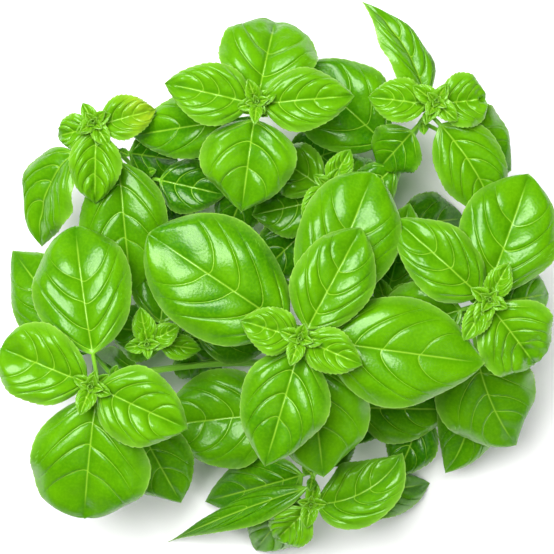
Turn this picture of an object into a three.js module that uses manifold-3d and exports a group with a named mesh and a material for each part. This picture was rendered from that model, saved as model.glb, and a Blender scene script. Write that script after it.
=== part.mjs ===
// A bunch of cut basil lying on a table: leafy stems whose cut ends are gathered on the surface
// and whose shoots turn up, each ending in a rosette of leaves. Millimetres, +Z up.
import * as THREE from "three";
import { mergeVertices } from "three/addons/utils/BufferGeometryUtils.js";
import Module from "manifold-3d";

const wasm = await Module();
wasm.setup();

// The bunch as laid out is moved so that the middle of its box's underside is the origin.
const LAYOUT_SHIFT = new THREE.Vector3(-0.4, 4.7, 0);

// Stems: a square with its corners cut off, thickest at the cut end.
const STEM_AT_CUT = 4.4;
const STEM_AT_TIP = 1.8;
const STEM_RINGS = 11;
const STEM_CORNER = 0.3;

// Leaves: a stalk that widens into a blade. Stations are shares of a blade's length, and across
// are shares of its half width. A leaf shorter than SMALL_LEAF has fewer of both.
const STALK_WIDTH = 2.0;
const STALK_THICKNESS = 1.7;
const BLADE_THICKNESS = 0.8;
const TIP_WIDTH = 0.8;
const SMALL_LEAF = 33;
const BLADE_STATIONS = [0, 0.09, 0.28, 0.5, 0.72, 0.89, 1];
const SMALL_STATIONS = [0, 0.22, 0.55, 0.85, 1];
const ACROSS = [-1, -0.5, 0, 0.5, 1];
const SMALL_ACROSS = [-1, 0, 1];

// A leaf that rests on the table starts between these pitches, found by halving the span.
const RESTING_PITCHES = [-60, 50];
const HALVINGS = 24;

// Outline of a blade: broadest a little below the middle, with a rounded base.
const OUTLINE_SHIFT = 1.25;
const OUTLINE_BASE = 0.5;

// Cross-section of a blade, as shares of its half width: the halves rise from the midrib by the
// fold and curl down at the margin. The margin waves a little along the leaf, and each leaf's
// waves start a golden share of a turn after those of the leaf before it.
const FOLD = 0.45;
const CURL = 0.6;
const MARGIN_WAVE = 0.06;
const WAVES = 2.5;
const GOLDEN = 0.618;

// The cut ends lie side by side in layers, here given by the height of their middles. GATHER is
// the middle of the gathering, and the stems leave it towards this heading, in degrees from +X.
const GATHER = { x: 70, y: -52 };
const GATHER_TOWARD = 143;
const LAYERS = { low: 2.2, middle: 7.2, high: 12.2 };

const LEAF_ROUGHNESS = 0.42;

// Points closer together than this are one point.
const MERGE_WITHIN = 1e-4;

const radians = THREE.MathUtils.degToRad;

// Where a stem is cut: how far across from the middle of the gathering, which layer, and how much
// longer than the rest it was cut.
function cutEnd(across, layer, longer = 0) {
  const along = radians(GATHER_TOWARD);
  return [
    GATHER.x + across * Math.sin(along) - longer * Math.cos(along),
    GATHER.y - across * Math.cos(along) - longer * Math.sin(along),
    LAYERS[layer],
  ];
}

// Each leaf: below = how far under the shoot's tip it grows, along the stem; toward = its heading
// seen from above, in degrees from +X; stalk, long, wide = stalk length, blade length and width;
// lift = how steeply it starts above level; droop = how far it bends down on its way;
// roll = tilt about its midrib; sweep = how far its heading turns aside on its way;
// point = how pointed it is, 1 where none is given;
// rests = its lift is found instead, so that the leaf just touches the table.
const SPRIGS = {
  sprig_centre: {
    colour: 0x6bb81a,
    stem: [cutEnd(-1, "high"), [22, -18, 12], [17, -29, 60], [10, -27, 112]],
    leaves: [
      { below: 0.5, toward: 75, stalk: 1, long: 9, wide: 6, lift: 60, droop: 30 },
      { below: 0.5, toward: 250, stalk: 1, long: 13, wide: 8, lift: 35, droop: 20 },
      { below: 3, toward: 163, stalk: 2, long: 26, wide: 21, lift: 22, droop: 35 },
      { below: 3, toward: 337, stalk: 2, long: 28, wide: 20, lift: 20, droop: 35 },
      { below: 8, toward: 62, stalk: 5, long: 52, wide: 36, lift: 20, droop: 45, point: 0.8 },
      { below: 8, toward: 254, stalk: 5, long: 57, wide: 40, lift: 14, droop: 45 },
      { below: 15, toward: 146, stalk: 10, long: 75, wide: 55, lift: 22, droop: 38, point: 0.65 },
      { below: 15, toward: 352, stalk: 9, long: 75, wide: 50, lift: 16, droop: 40, point: 0.9 },
      { below: 24, toward: 68, stalk: 14, long: 68, wide: 46, lift: 23, droop: 45, point: 0.58 },
      { below: 25, toward: 277, stalk: 12, long: 58, wide: 50, lift: 4, droop: 42 },
    ],
  },
  sprig_back: {
    colour: 0x66b41c,
    stem: [cutEnd(0.4, "middle", 4), [5, 14, 8], [-14, 68, 40], [-9, 78, 98]],
    leaves: [
      { below: 0.5, toward: 112, stalk: 1, long: 12, wide: 7, lift: 50, droop: 30 },
      { below: 0.5, toward: 265, stalk: 1, long: 12, wide: 6, lift: 45, droop: 20 },
      { below: 4, toward: 167, stalk: 3, long: 40, wide: 28, lift: 20, droop: 40 },
      { below: 4, toward: 5, stalk: 3, long: 42, wide: 28, lift: 18, droop: 38 },
      { below: 10, toward: 78, stalk: 5, long: 45, wide: 45, lift: 16, droop: 80, point: 0.7 },
      { below: 10, toward: 262, stalk: 5, long: 44, wide: 44, lift: 14, droop: 50, point: 1.1 },
      { below: 20, toward: 187, stalk: 10, long: 53, wide: 30, lift: 0, droop: 40 },
      { below: 48, toward: 246, stalk: 8, long: 42, wide: 26, lift: -8, droop: 30 },
      { below: 64, toward: 178, stalk: 14, long: 32, wide: 30, lift: 6, droop: 20 },
      { below: 64, toward: 20, stalk: 8, long: 38, wide: 28, lift: 0, droop: 20 },
    ],
  },
  sprig_front_left: {
    colour: 0x6ab71b,
    stem: [cutEnd(-4.6, "low", 2), [12, -30, 2.2], [-78, -46, 30], [-83.5, -49, 92]],
    leaves: [
      { below: 0.5, toward: 70, stalk: 1, long: 8, wide: 5, lift: 60, droop: 20 },
      { below: 0.5, toward: 250, stalk: 1, long: 14, wide: 9, lift: 35, droop: 20 },
      { below: 4, toward: 158, stalk: 3, long: 43, wide: 36, lift: 18, droop: 42, point: 0.55 },
      { below: 4, toward: 335, stalk: 3, long: 45, wide: 36, lift: 15, droop: 38 },
      { below: 12, toward: 99, stalk: 14, long: 62, wide: 46, lift: 20, droop: 55, point: 0.65 },
      { below: 12, toward: 263, stalk: 6, long: 62, wide: 55, lift: 14, droop: 56, point: 0.5 },
      { below: 28, toward: 296, stalk: 28, long: 46, wide: 34, lift: -8, droop: 30 },
      { below: 28, toward: 130, stalk: 16, long: 67, wide: 40, lift: 6, droop: 45 },
      { below: 56, toward: 196, stalk: 8, long: 50, wide: 34, droop: 50, rests: true },
    ],
  },
  sprig_right: {
    colour: 0x63b01a,
    stem: [cutEnd(11, "low", -2), [66, -30, 2.2], [84, -20, 25], [95, -10, 95]],
    leaves: [
      { below: 0.5, toward: 150, stalk: 1, long: 7, wide: 4, lift: 60, droop: 20 },
      { below: 0.5, toward: 330, stalk: 1, long: 7, wide: 4, lift: 60, droop: 20 },
      { below: 2.5, toward: 62, stalk: 2, long: 18, wide: 12, lift: 30, droop: 30 },
      { below: 2.5, toward: 238, stalk: 2, long: 20, wide: 12, lift: 25, droop: 30 },
      { below: 6, toward: 138, stalk: 4, long: 53, wide: 32, lift: 20, droop: 42 },
      { below: 6, toward: 309, stalk: 4, long: 37, wide: 38, lift: 14, droop: 65, point: 0.8 },
      { below: 12, toward: 70, stalk: 6, long: 58, wide: 46, lift: 24, droop: 50, point: 0.75 },
      { below: 18, toward: 8, stalk: 6, long: 36, wide: 34, lift: 0, droop: 60 },
      { below: 18, toward: 196, stalk: 8, long: 46, wide: 38, lift: 4, droop: 45 },
      { below: 28, toward: 271, stalk: 20, long: 59, wide: 48, lift: 0, droop: 45, sweep: 40 },
      { below: 48, toward: 294, stalk: 24, long: 63, wide: 32, lift: 0, droop: 40, sweep: -56 },
    ],
  },
  sprig_back_right: {
    colour: 0x5fab1c,
    stem: [cutEnd(4.6, "low", 6), [44, -20, 2.2], [46, 48, 26], [71.5, 79, 92]],
    leaves: [
      { below: 0.5, toward: 60, stalk: 1, long: 9, wide: 5, lift: 50, droop: 20 },
      { below: 0.5, toward: 240, stalk: 1, long: 9, wide: 5, lift: 50, droop: 20 },
      { below: 4, toward: 172, stalk: 3, long: 27, wide: 20, lift: 10, droop: 35 },
      { below: 4, toward: 8, stalk: 2, long: 24, wide: 25, lift: 10, droop: 50, point: 0.7 },
      {
        below: 10, toward: 98, stalk: 6, long: 54, wide: 24, lift: 8, droop: 20,
        roll: 35, sweep: 45, point: 1.2,
      },
      { below: 10, toward: 316, stalk: 8, long: 54, wide: 32, lift: 8, droop: 45, sweep: -24 },
      { below: 18, toward: 334, stalk: 10, long: 45, wide: 42, lift: 0, droop: 50 },
      { below: 18, toward: 228, stalk: 6, long: 30, wide: 26, lift: -15, droop: 50 },
      { below: 46, toward: 138, stalk: 12, long: 54, wide: 44, lift: 22, droop: 35, point: 0.8 },
      { below: 46, toward: 222, stalk: 6, long: 28, wide: 20, lift: 18, droop: 30 },
      { below: 88, toward: 8, stalk: 6, long: 44, wide: 30, droop: 40, rests: true },
    ],
  },
  sprig_back_left: {
    colour: 0x68b51e,
    stem: [cutEnd(0, "low", 9), [-8, 10, 2.2], [-60, 36, 34], [-84, 71, 75]],
    leaves: [
      { below: 0.5, toward: 40, stalk: 1, long: 9, wide: 5, lift: 50, droop: 20 },
      { below: 0.5, toward: 220, stalk: 1, long: 9, wide: 5, lift: 50, droop: 20 },
      { below: 3, toward: 268, stalk: 3, long: 34, wide: 24, lift: 10, droop: 45 },
      { below: 3, toward: 16, stalk: 2, long: 27, wide: 20, lift: 15, droop: 45 },
      { below: 4, toward: 190, stalk: 2, long: 20, wide: 16, lift: 5, droop: 60 },
      {
        below: 8, toward: 205, stalk: 16, long: 53, wide: 34, lift: -5, droop: 30,
        roll: 35, sweep: 72,
      },
      { below: 22, toward: 275, stalk: 5, long: 63, wide: 42, lift: 14, droop: 45, point: 0.8 },
      { below: 22, toward: 354, stalk: 6, long: 30, wide: 26, lift: -32, droop: 20 },
      { below: 42, toward: 318, stalk: 6, long: 34, wide: 26, lift: -34, droop: 16 },
      { below: 42, toward: 347, stalk: 8, long: 32, wide: 26, lift: 20, droop: 30 },
      { below: 66, toward: 176, stalk: 8, long: 46, wide: 32, droop: 50, rests: true },
    ],
  },
  sprig_front: {
    colour: 0x70b91e,
    stem: [cutEnd(-6, "high", -3), [22, -24, 12], [19, -62, 52], [16, -108, 42]],
    leaves: [
      {
        below: 1, toward: 357, stalk: 3, long: 50, wide: 32, lift: 22, droop: 30,
        roll: -20, sweep: 64,
      },
      {
        below: 9, toward: 197, stalk: 3, long: 88, wide: 17, droop: 46, roll: 35,
        sweep: 16, point: 1.8, rests: true,
      },
      { below: 4, toward: 2, stalk: 8, long: 66, wide: 28, droop: 35, roll: -20, rests: true },
      { below: 3, toward: 214, stalk: 4, long: 52, wide: 30, lift: -34, droop: 20, sweep: 30 },
      { below: 0.5, toward: 231, stalk: 3, long: 27, wide: 22, lift: -14, droop: 40, sweep: -4 },
      { below: 16, toward: 199, stalk: 6, long: 60, wide: 32, lift: -27, droop: 12 },
      { below: 14, toward: 50, stalk: 8, long: 24, wide: 18, lift: -10, droop: 20 },
      { below: 48, toward: 187, stalk: 22, long: 60, wide: 49, lift: 10, droop: 30 },
      { below: 48, toward: 358, stalk: 16, long: 50, wide: 34, lift: 4, droop: 30 },
    ],
  },
  sprig_inner_left: {
    colour: 0x4d9616,
    stem: [cutEnd(-4.6, "middle", 1), [0, -14, 8], [-50, -28, 22], [-60, -31, 66]],
    leaves: [
      { below: 1, toward: 100, stalk: 2, long: 17, wide: 11, lift: 40, droop: 40 },
      { below: 1, toward: 30, stalk: 2, long: 16, wide: 11, lift: 30, droop: 40 },
      { below: 6, toward: 352, stalk: 4, long: 20, wide: 12, lift: 10, droop: 40 },
      { below: 14, toward: 84, stalk: 8, long: 44, wide: 32, lift: 5, droop: 40 },
      { below: 28, toward: 4, stalk: 10, long: 44, wide: 30, lift: 10, droop: 40 },
      { below: 28, toward: 172, stalk: 4, long: 30, wide: 28, lift: 4, droop: 20 },
      { below: 30, toward: 311, stalk: 5, long: 34, wide: 27, lift: -40, droop: 8 },
    ],
  },
  sprig_inner_back: {
    colour: 0x4f9918,
    stem: [cutEnd(6.2, "middle", 2), [28, 0, 14], [20, 30, 24], [24, 42, 72]],
    leaves: [
      { below: 1, toward: 60, stalk: 2, long: 18, wide: 12, lift: 30, droop: 40 },
      { below: 1, toward: 230, stalk: 2, long: 18, wide: 12, lift: 30, droop: 40 },
      { below: 8, toward: 146, stalk: 4, long: 30, wide: 26, lift: 5, droop: 40 },
      { below: 8, toward: 330, stalk: 4, long: 34, wide: 26, lift: 5, droop: 40 },
      { below: 18, toward: 192, stalk: 6, long: 30, wide: 28, lift: 15, droop: 30 },
      { below: 28, toward: 224, stalk: 8, long: 40, wide: 30, lift: 5, droop: 30 },
      { below: 18, toward: 30, stalk: 6, long: 32, wide: 26, lift: -10, droop: 40 },
    ],
  },
  sprig_inner_right: {
    colour: 0x529c18,
    stem: [cutEnd(4.2, "high", -2), [50, -34, 12], [48, -20, 26], [51, -12, 54]],
    leaves: [
      { below: 1, toward: 20, stalk: 2, long: 18, wide: 12, lift: 30, droop: 40 },
      { below: 1, toward: 200, stalk: 2, long: 18, wide: 12, lift: 30, droop: 40 },
      { below: 6, toward: 76, stalk: 5, long: 46, wide: 28, lift: 15, droop: 35 },
      { below: 6, toward: 256, stalk: 4, long: 34, wide: 24, lift: -5, droop: 35 },
      { below: 52, toward: 302, stalk: 30, long: 34, wide: 26, lift: 35, droop: 60, sweep: -70 },
      { below: 46, toward: 262, stalk: 22, long: 32, wide: 18, lift: 45, droop: 80, sweep: -24 },
    ],
  },
};

// Half the width of a blade at share u of its length, as a share of its widest half.
function outline(u, point) {
  const widest = OUTLINE_BASE / (OUTLINE_BASE + point);
  const form = (x) => Math.pow(x, OUTLINE_BASE) * Math.pow(1 - x, point);
  return form(Math.pow(u, OUTLINE_SHIFT)) / form(widest);
}

// The running sum of cos(start + rate * x) for x from 0 to share.
function cosineRun(start, rate, share) {
  if (Math.abs(rate) < 1e-6) return Math.cos(start) * share;
  return (Math.sin(start + rate * share) - Math.sin(start)) / rate;
}

// The midrib of a leaf at a distance from its root. Its pitch falls evenly by the droop and its
// heading turns evenly by the sweep, so that its place is a sum of sines and cosines of both.
// Gives the place, the way across the blade and the way out of its upper face.
function midrib(leaf, root, distance) {
  const total = leaf.stalk + leaf.long;
  const share = distance / total;
  const [pitch, bend] = [radians(leaf.lift), radians(-leaf.droop)];
  const [heading, turn] = [radians(leaf.toward), radians(leaf.sweep ?? 0)];
  const quarter = Math.PI / 2;
  const along = (aside) => {
    const outward = cosineRun(heading + pitch - aside, turn + bend, share);
    const inward = cosineRun(heading - pitch - aside, turn - bend, share);
    return (total * (outward + inward)) / 2;
  };
  const rise = total * cosineRun(pitch - quarter, bend, share);
  const place = root.clone().add(new THREE.Vector3(along(0), along(quarter), rise));
  const a = pitch + bend * share;
  const b = heading + turn * share;
  const side = new THREE.Vector3(-Math.sin(b), Math.cos(b), 0);
  const tipped = -Math.sin(a);
  const top = new THREE.Vector3(tipped * Math.cos(b), tipped * Math.sin(b), Math.cos(a));
  const tilt = radians(leaf.roll ?? 0);
  const across = side.clone().multiplyScalar(Math.cos(tilt)).addScaledVector(top, Math.sin(tilt));
  const out = top.clone().multiplyScalar(Math.cos(tilt)).addScaledVector(side, -Math.sin(tilt));
  return { place, across, out };
}

// One ring of points round a leaf at a distance from its root: its upper face from one margin to
// the other, then its lower face back.
function leafRing(leaf, root, distance, stations) {
  const u = THREE.MathUtils.clamp((distance - leaf.stalk) / leaf.long, 0, 1);
  const least = u < 0.5 ? STALK_WIDTH / 2 : TIP_WIDTH / 2;
  const half = Math.max(least, (leaf.wide / 2) * outline(u, leaf.point ?? 1));
  const thickness = u > 0 ? BLADE_THICKNESS : STALK_THICKNESS;
  const { place, across, out } = midrib(leaf, root, distance);
  const phase = 2 * Math.PI * GOLDEN * leaf.index;
  const wave = MARGIN_WAVE * Math.sin(2 * Math.PI * WAVES * u + phase);
  const spread = (v, face) => {
    const arch = FOLD * Math.abs(v) - CURL * v * v;
    const height = u > 0 ? arch + wave * v * v * Math.sign(v) : 0;
    return place
      .clone()
      .addScaledVector(across, v * half)
      .addScaledVector(out, height * half + (face * thickness) / 2);
  };
  return [
    ...stations.map((v) => spread(v, 1)),
    ...[...stations].reverse().map((v) => spread(v, -1)),
  ];
}

// A closed solid from rings of points that all have the same count. Where twin is given, each ring
// is an upper and a lower face with that many points, and both are split into triangles alike.
function sweptSolid(rings, twin = 0) {
  const count = rings[0].length;
  const places = rings.flat().flatMap((p) => [p.x, p.y, p.z]);
  const index = [];
  const under = (k) => k >= twin && twin > 0;
  for (let r = 0; r + 1 < rings.length; r++) {
    for (let k = 0; k < count; k++) {
      const a = r * count + k;
      const b = r * count + ((k + 1) % count);
      const c = b + count;
      const d = a + count;
      if (under(k)) index.push(a, b, d, b, c, d);
      else index.push(a, b, c, a, c, d);
    }
  }
  const last = (rings.length - 1) * count;
  for (const [start, turned] of [[0, true], [last, false]]) {
    const fan = [];
    if (twin > 0) {
      for (let k = 0; k + 1 < twin; k++) {
        const [a, b, c, d] = [k, k + 1, count - 2 - k, count - 1 - k];
        fan.push([a, b, c], [a, c, d]);
      }
    } else {
      for (let k = 1; k + 1 < count; k++) fan.push([0, k, k + 1]);
    }
    for (const [a, b, c] of fan) {
      if (turned) index.push(start + c, start + b, start + a);
      else index.push(start + a, start + b, start + c);
    }
  }
  const geometry = new THREE.BufferGeometry();
  geometry.setAttribute("position", new THREE.Float32BufferAttribute(places, 3));
  geometry.setIndex(index);
  return solid(geometry);
}

// A manifold-3d solid from a closed geometry, turned face out.
function solid(geometry) {
  const merged = mergeVertices(geometry, MERGE_WITHIN);
  const make = (triVerts) =>
    new wasm.Manifold(
      new wasm.Mesh({ numProp: 3, vertProperties: merged.attributes.position.array, triVerts }),
    );
  const triVerts = new Uint32Array(merged.index.array);
  const made = make(triVerts);
  if (made.volume() > 0) return made;
  for (let i = 0; i < triVerts.length; i += 3) {
    [triVerts[i + 1], triVerts[i + 2]] = [triVerts[i + 2], triVerts[i + 1]];
  }
  return make(triVerts);
}

// The rings of points that make up a leaf: its root, then its blade from base to tip.
function leafRings(leaf, root) {
  const small = leaf.long < SMALL_LEAF;
  const stations = small ? SMALL_STATIONS : BLADE_STATIONS;
  const across = small ? SMALL_ACROSS : ACROSS;
  const distances = [0, ...stations.map((u) => leaf.stalk + u * leaf.long)];
  return distances.map((distance) => leafRing(leaf, root, distance, across));
}

// How steeply a leaf has to start so that its lowest point just rests on the table.
function restingLift(leaf, root) {
  const lowest = (lift) => Math.min(...leafRings({ ...leaf, lift }, root).flat().map((p) => p.z));
  let [under, over] = RESTING_PITCHES;
  for (let halving = 0; halving < HALVINGS; halving++) {
    const middle = (under + over) / 2;
    if (lowest(middle) < 0) under = middle;
    else over = middle;
  }
  return over;
}

// A leaf as one closed blade with its stalk.
function leafSolid(leaf, root) {
  const set = leaf.rests ? { ...leaf, lift: restingLift(leaf, root) } : leaf;
  const rings = leafRings(set, root);
  return sweptSolid(rings, rings[0].length / 2);
}

// A stem along its curve: a square with its corners cut, thinner towards the tip.
function stemSolid(curve) {
  const rings = [];
  const tangent = new THREE.Vector3();
  const gathered = radians(GATHER_TOWARD);
  const level = new THREE.Vector3(Math.sin(gathered), -Math.cos(gathered), 0);
  for (let r = 0; r < STEM_RINGS; r++) {
    const share = r / (STEM_RINGS - 1);
    const place = curve.getPointAt(share);
    curve.getTangentAt(share, tangent);
    const over = new THREE.Vector3().crossVectors(tangent, level).normalize();
    const side = new THREE.Vector3().crossVectors(over, tangent).normalize();
    const half = THREE.MathUtils.lerp(STEM_AT_CUT, STEM_AT_TIP, share) / 2;
    const cut = half * (1 - 2 * STEM_CORNER);
    const corners = [
      [half, -cut], [half, cut], [cut, half], [-cut, half],
      [-half, cut], [-half, -cut], [-cut, -half], [cut, -half],
    ];
    const corner = ([x, y]) => place.clone().addScaledVector(side, x).addScaledVector(over, y);
    rings.push(corners.map(corner));
  }
  return sweptSolid(rings);
}

// A leafy stem: the stem and all its leaves, grown together.
function sprigMesh(name, { colour, stem, leaves }, firstIndex) {
  const curve = new THREE.CubicBezierCurve3(...stem.map((p) => new THREE.Vector3(...p)));
  const length = curve.getLength();
  let grown = stemSolid(curve);
  leaves.forEach((leaf, i) => {
    const root = curve.getPointAt(1 - leaf.below / length);
    grown = grown.add(leafSolid({ ...leaf, index: firstIndex + i }, root));
  });
  const { numProp, vertProperties, triVerts, numVert } = grown.getMesh();
  const places = new Float32Array(numVert * 3);
  for (let i = 0; i < numVert; i++) {
    const from = i * numProp;
    places.set(vertProperties.subarray(from, from + 3), i * 3);
  }
  const geometry = new THREE.BufferGeometry();
  geometry.setAttribute("position", new THREE.BufferAttribute(places, 3));
  geometry.setIndex(new THREE.BufferAttribute(triVerts, 1));
  const material = new THREE.MeshStandardMaterial({
    color: colour,
    roughness: LEAF_ROUGHNESS,
    metalness: 0,
  });
  const mesh = new THREE.Mesh(geometry, material);
  mesh.name = name;
  mesh.position.copy(LAYOUT_SHIFT);
  return mesh;
}

const bunch = new THREE.Group();
let leafCount = 0;
for (const [name, sprig] of Object.entries(SPRIGS)) {
  bunch.add(sprigMesh(name, sprig, leafCount));
  leafCount += sprig.leaves.length;
}

export default bunch;
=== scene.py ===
"""A bunch of cut basil lying on a table, with its leafy shoots turned up.

Sizes are in millimetres and angles in degrees. A mesh is made in metres, in the frame's own place.
"""
import logging
from dataclasses import dataclass, replace
from enum import Enum

import bpy
import numpy as np
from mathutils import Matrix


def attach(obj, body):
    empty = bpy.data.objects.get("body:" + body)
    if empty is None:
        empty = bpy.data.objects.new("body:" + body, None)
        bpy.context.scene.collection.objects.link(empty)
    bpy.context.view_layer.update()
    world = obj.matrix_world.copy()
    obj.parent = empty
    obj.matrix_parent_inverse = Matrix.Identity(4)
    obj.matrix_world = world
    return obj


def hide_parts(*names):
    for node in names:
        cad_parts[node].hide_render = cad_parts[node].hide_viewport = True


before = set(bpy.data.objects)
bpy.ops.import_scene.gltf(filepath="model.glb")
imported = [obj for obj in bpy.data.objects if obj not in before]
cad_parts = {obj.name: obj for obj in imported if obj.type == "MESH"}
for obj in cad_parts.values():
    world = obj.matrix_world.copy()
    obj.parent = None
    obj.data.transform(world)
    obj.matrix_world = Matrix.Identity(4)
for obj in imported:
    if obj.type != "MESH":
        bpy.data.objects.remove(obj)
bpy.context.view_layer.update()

Place = tuple[float, float, float]
Colour = tuple[float, float, float]

MM = 0.001
TURN = 2.0 * np.pi
# How far the whole layout is moved, so that the bunch lies over the middle of the frame.
LAYOUT_SHIFT = np.array([-0.4, 4.7, 0.0])
# Where the cut ends lie together, and the way that the stems run from there.
GATHER = np.array([70.0, -52.0])
GATHER_TOWARD = 143.0
# Counts times this share spread evenly over a turn, so that no two leaves wave alike.
GOLDEN = 0.618
# One tooth of the margin: shares of its step, and how high it stands at each.
TOOTH_TURNS = (0.0, 0.45, 0.86, 1.0)
TOOTH_HEIGHTS = (0.0, 0.62, 1.0, 0.0)
# How far apart the leaves' flat maps lie, so that their patterns differ.
FLAT_GAP = 97.0
# What a leaf's number is added to for its seed, and a sprig's for that of its bud.
LEAF_SEED = 4100
BUD_SEED = 700
# The numbers of the tiny leaves start here, and so many further on for each leaf before them.
TINY_NUMBERS = 1000
TINY_NUMBERS_EACH = 40

log = logging.getLogger("basil")


class Layer(Enum):
    """How high the middles of the cut ends lie in each layer of the gathering."""

    LOW = 2.2
    MIDDLE = 7.2
    HIGH = 12.2


def unit(vectors: np.ndarray) -> np.ndarray:
    """Vectors brought to length one along the last axis."""
    return vectors / np.linalg.norm(vectors, axis=-1, keepdims=True)


def smooth(low: float, high: float, x: np.ndarray) -> np.ndarray:
    """Zero below low, one above high, and the cubic 3t^2 - 2t^3 between them."""
    t = np.clip((x - low) / (high - low), 0.0, 1.0)
    return t * t * (3.0 - 2.0 * t)


def fading(low: float, high: float, x: np.ndarray) -> np.ndarray:
    """One below low, zero above high, and one less the same cubic between them."""
    return 1.0 - smooth(low, high, x)


def falling(x: float, full: float, none: float) -> float:
    """One up to full, zero from none on, and an even fall between them."""
    return np.clip((none - x) / (none - full), 0.0, 1.0)


def bell(x: np.ndarray, wide: float) -> np.ndarray:
    """One where x is zero, falling to both sides as e^-(x / wide)^2."""
    return np.exp(-((x / wide) ** 2))


def cosine_run(start: np.ndarray, rate: float, share: np.ndarray) -> np.ndarray:
    """Sums cos(start + rate * x) for x from 0 to share.

    Args:
        start: the angle at the start.
        rate: how far the angle turns from 0 to 1.
        share: where the sum ends.

    Returns:
        (sin(start + rate * share) - sin(start)) / rate, or what it tends to as rate vanishes.
    """
    if abs(rate) < 1e-6:
        return np.cos(start) * share
    return (np.sin(start + rate * share) - np.sin(start)) / rate


def cut_end(across: float, layer: Layer, longer: float = 0.0) -> Place:
    """Where a stem is cut.

    Args:
        across: how far it lies across from the middle of the gathering.
        layer: the layer of the gathering that it lies in.
        longer: how much longer than the rest it was cut.

    Returns:
        The middle of the cut.
    """
    along = np.radians(GATHER_TOWARD)
    x = GATHER[0] + across * np.sin(along) - longer * np.cos(along)
    y = GATHER[1] - across * np.cos(along) - longer * np.sin(along)
    return float(x), float(y), layer.value


def placed(name: str, data: bpy.types.ID) -> bpy.types.Object:
    """Makes an object and links it to the scene.

    Args:
        name: its name.
        data: its mesh, lamp or camera.

    Returns:
        The object.
    """
    made = bpy.data.objects.new(name, data)
    bpy.context.scene.collection.objects.link(made)
    return made


@dataclass
class Patch:
    """A closed surface: its points and faces, a flat map in mm and marks on the points."""

    points: np.ndarray
    quads: np.ndarray
    triangles: np.ndarray
    flat: np.ndarray
    marks: dict[str, np.ndarray]

    @classmethod
    def from_rings(
        cls, rings: np.ndarray, flat: np.ndarray, marks: dict[str, np.ndarray]
    ) -> "Patch":
        """Joins rings of points into a tube and closes both ends with a fan round their middles.

        Args:
            rings: places, one row for each ring, with the same count of points in each.
            flat: the flat map's two numbers for each point.
            marks: a number for each point under each mark's name.

        Returns:
            The closed surface with its faces pointing out.
        """
        count_rings, count = rings.shape[:2]
        index = np.arange(count_rings * count).reshape(count_rings, count)
        near, far = index[:-1], index[1:]
        quads = np.stack([near, np.roll(near, -1, 1), np.roll(far, -1, 1), far], -1)
        first, last, middle = index[0], index[-1], np.full(count, index.size)
        triangles = np.concatenate(
            [
                np.stack([np.roll(first, -1), first, middle], -1),
                np.stack([last, np.roll(last, -1), middle + 1], -1),
            ]
        )
        ends = np.stack([rings[0].mean(0), rings[-1].mean(0)])
        points = np.concatenate([rings.reshape(-1, 3), ends])
        flat = np.concatenate([flat.reshape(-1, 2), flat[[0, -1]].mean(1)])
        marks = {
            name: np.concatenate([mark.ravel(), mark[[0, -1]].mean(1)])
            for name, mark in marks.items()
        }
        made = cls(points, quads.reshape(-1, 4), triangles, flat, marks)
        if made.volume() < 0:
            made.quads = made.quads[:, ::-1]
            made.triangles = made.triangles[:, ::-1]
        return made

    def volume(self) -> float:
        """Adds up the pyramids from the origin to each triangle.

        Returns:
            The volume inside, below zero where the faces point inwards.
        """
        corners = np.concatenate(
            [self.triangles, self.quads[:, :3], self.quads[:, [0, 2, 3]]]
        )
        a, b, c = (self.points[corners[:, k]] for k in range(3))
        return float(np.einsum("ij,ij->i", a, np.cross(b, c)).sum() / 6.0)

    @classmethod
    def joined(cls, patches: list["Patch"]) -> "Patch":
        """Puts several surfaces together.

        Args:
            patches: the surfaces, which keep their own points.

        Returns:
            One set of surfaces.
        """
        starts = np.cumsum([0] + [len(p.points) for p in patches[:-1]])
        return cls(
            np.concatenate([p.points for p in patches]),
            np.concatenate([p.quads + s for p, s in zip(patches, starts)]),
            np.concatenate([p.triangles + s for p, s in zip(patches, starts)]),
            np.concatenate([p.flat for p in patches]),
            {
                name: np.concatenate([p.marks[name] for p in patches])
                for name in patches[0].marks
            },
        )

    def as_object(self, name: str, material: bpy.types.Material) -> bpy.types.Object:
        """Puts the surface into a mesh in metres, with its flat map and marks.

        Args:
            name: the piece's name.
            material: the finish of the whole piece.

        Returns:
            The piece, linked to the scene.
        """
        mesh = bpy.data.meshes.new(name)
        corners = np.concatenate([self.quads.ravel(), self.triangles.ravel()])
        sides = np.repeat([4, 3], [len(self.quads), len(self.triangles)])
        starts = np.concatenate([[0], np.cumsum(sides)[:-1]])
        places = (self.points + LAYOUT_SHIFT) * MM
        mesh.vertices.add(len(places))
        mesh.vertices.foreach_set("co", places.astype(np.float32).ravel())
        mesh.loops.add(len(corners))
        mesh.loops.foreach_set("vertex_index", corners.astype(np.int32))
        mesh.polygons.add(len(sides))
        mesh.polygons.foreach_set("loop_start", starts.astype(np.int32))
        mesh.polygons.foreach_set("use_smooth", np.ones(len(sides), bool))
        mesh.update(calc_edges=True)
        layer = mesh.uv_layers.new(name="flat")
        layer.data.foreach_set("uv", self.flat[corners].astype(np.float32).ravel())
        for mark, values in self.marks.items():
            attribute = mesh.attributes.new(mark, "FLOAT", "POINT")
            attribute.data.foreach_set("value", values.astype(np.float32))
        mesh.materials.append(material)
        return placed(name, mesh)


@dataclass(frozen=True)
class Leaf:
    """How one leaf grows: where on the stem, which way, how large and how it bends.

    below is how far under the shoot's tip it grows, toward its heading seen from above, lift how
    steeply it starts above level and droop how far it bends down on its way. A lift of None is
    found so that the leaf just touches the table. roll tilts it about its midrib, sweep turns its
    heading aside on its way, and point is how pointed it is. yellow is how far it has yellowed,
    and shade how much painted shade darkens it, as if it lay in shadow under the canopy, where
    None takes it from its height.
    """

    below: float
    toward: float
    stalk: float
    long: float
    wide: float
    lift: float | None
    droop: float
    roll: float = 0.0
    sweep: float = 0.0
    point: float = 1.0
    yellow: float = 0.0
    shade: float | None = None


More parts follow.
